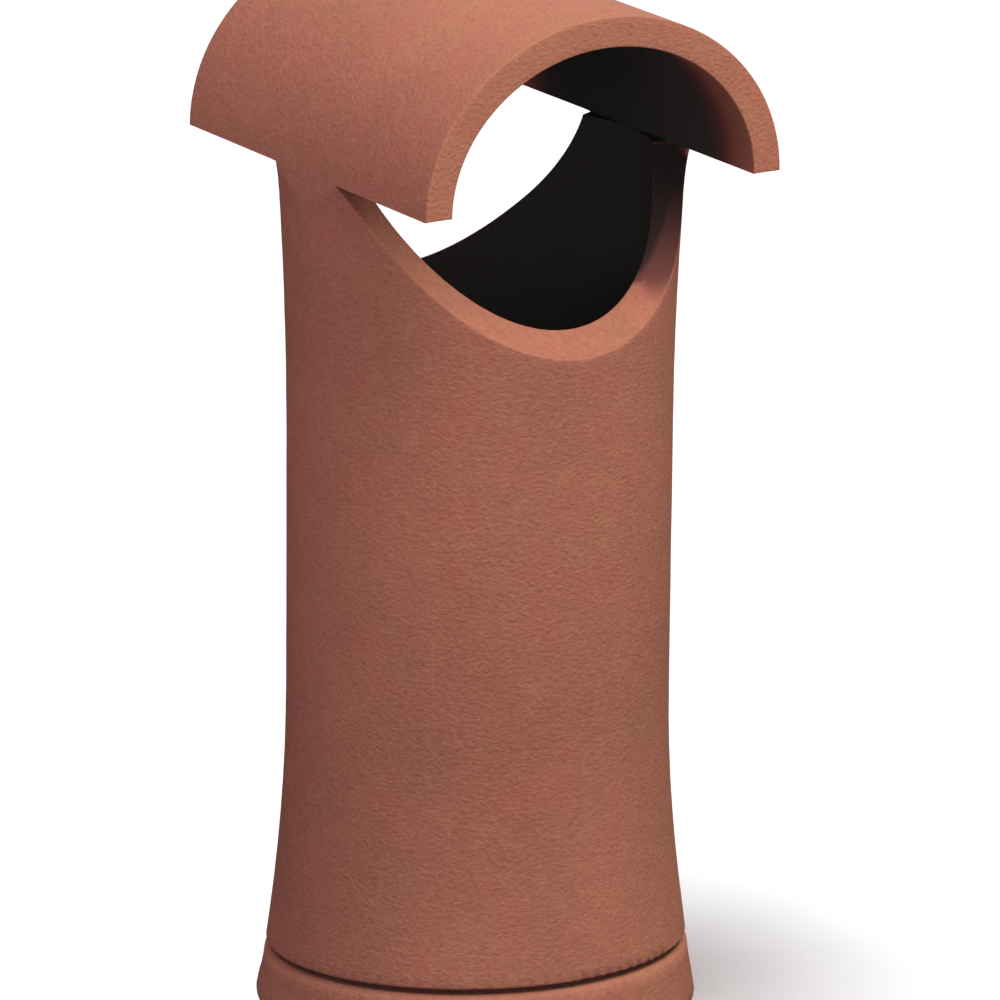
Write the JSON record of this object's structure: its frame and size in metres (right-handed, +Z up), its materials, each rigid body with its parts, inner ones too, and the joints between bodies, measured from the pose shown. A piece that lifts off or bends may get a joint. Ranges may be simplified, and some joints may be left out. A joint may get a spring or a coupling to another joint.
{
  "type": "chimney pot",
  "caption": "Flared clay chimney pot with a half-barrel hood on top, open at both ends over arched mouths cut into the tube.",
  "frame": {"origin": "on the underside of the foot, at the tube's axis, which is the bottom centre of the bounding box", "axes": "+Z up along the tube's axis, Y along the hood with one mouth facing -Y and the other +Y, X across the hood"},
  "size_m": [0.2771, 0.28, 0.6575],
  "materials": {
    "terracotta": "unglazed fired clay, matt, finely sandy surface with soft colour variation"
  },
  "bodies": {
    "root": {"chimney_pot": "terracotta"}
  },
  "joints": []
}
